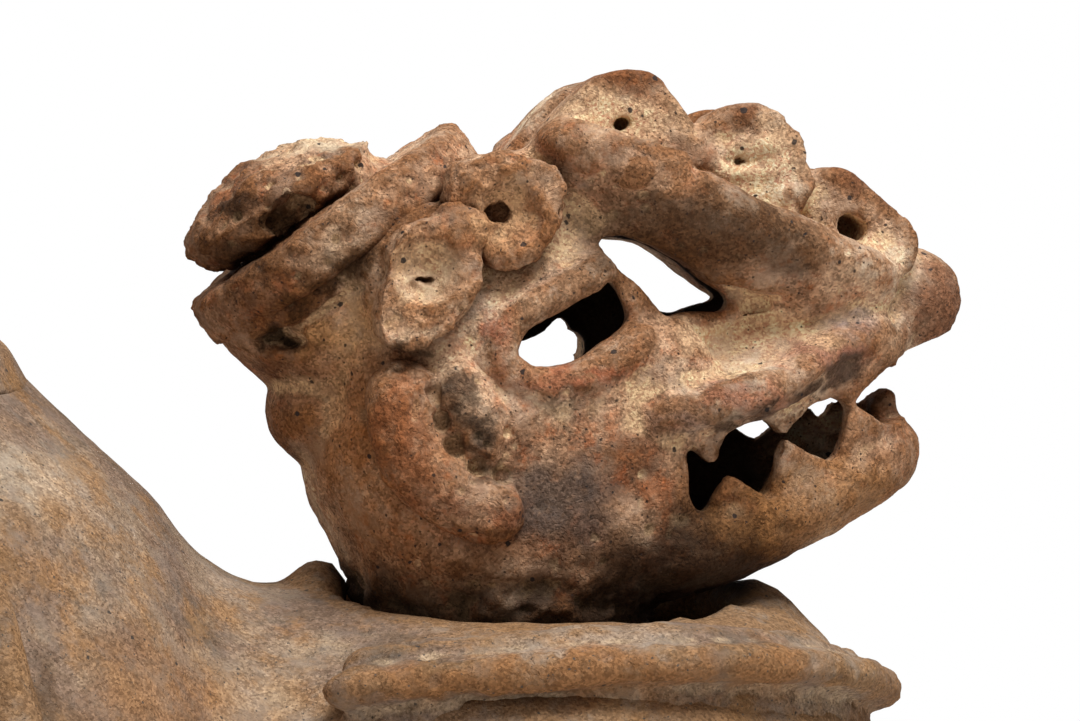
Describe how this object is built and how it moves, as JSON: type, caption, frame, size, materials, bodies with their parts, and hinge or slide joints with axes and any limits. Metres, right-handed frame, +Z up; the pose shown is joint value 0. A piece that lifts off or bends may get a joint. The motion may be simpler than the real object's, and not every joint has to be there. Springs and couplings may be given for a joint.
{
  "type": "effigy urn",
  "caption": "Hollow earthenware jar with a low chest whose socket holds a loose openwork animal head as its stopper.",
  "frame": {"origin": "on the middle plane of the flat base, between the jar and the chest, at floor level", "axes": "+X the way the animal looks, +Y its left, +Z up"},
  "size_m": [0.4597, 0.2954, 0.3319],
  "materials": {
    "body_clay": "unglazed matt",
    "head_clay": "unglazed matt"
  },
  "bodies": {
    "urn": {"base_disc": "body_clay", "urn_body": "body_clay", "socket_sleeve": "body_clay", "seat_ledge": "body_clay", "jar_neck": "body_clay", "shoulder_ring": "body_clay", "chest_collar": "body_clay", "flank_strap_right": "body_clay", "flank_strap_left": "body_clay"},
    "head": {"neck_and_jaw": "head_clay", "face_mask": "head_clay", "headdress_brim": "head_clay", "headdress_crown": "head_clay", "nape_knob": "head_clay", "nose_roll": "head_clay", "brow_ridge_right": "head_clay", "eye_lid_right": "head_clay", "upper_lip_right": "head_clay", "cheek_roll_right": "head_clay", "ruff_lug_low_right": "head_clay", "ruff_lug_high_right": "head_clay", "crest_lug_back_right": "head_clay", "crest_lug_middle_right": "head_clay", "crest_lug_front_right": "head_clay", "lower_tooth_1_right": "head_clay", "lower_tooth_2_right": "head_clay", "lower_tooth_3_right": "head_clay", "upper_tooth_1_right": "head_clay", "upper_tooth_2_right": "head_clay", "upper_tooth_3_right": "head_clay", "brow_ridge_left": "head_clay", "eye_lid_left": "head_clay", "upper_lip_left": "head_clay", "cheek_roll_left": "head_clay", "ruff_lug_low_left": "head_clay", "ruff_lug_high_left": "head_clay", "crest_lug_back_left": "head_clay", "crest_lug_middle_left": "head_clay", "crest_lug_front_left": "head_clay", "lower_tooth_1_left": "head_clay", "lower_tooth_2_left": "head_clay", "lower_tooth_3_left": "head_clay", "upper_tooth_1_left": "head_clay", "upper_tooth_2_left": "head_clay", "upper_tooth_3_left": "head_clay"}
  },
  "joints": [
    {"name": "head_lift", "type": "slide", "parent": "urn", "child": "head", "axis": [0, 0, 1], "range_m": [0, 0.12]}
  ]
}
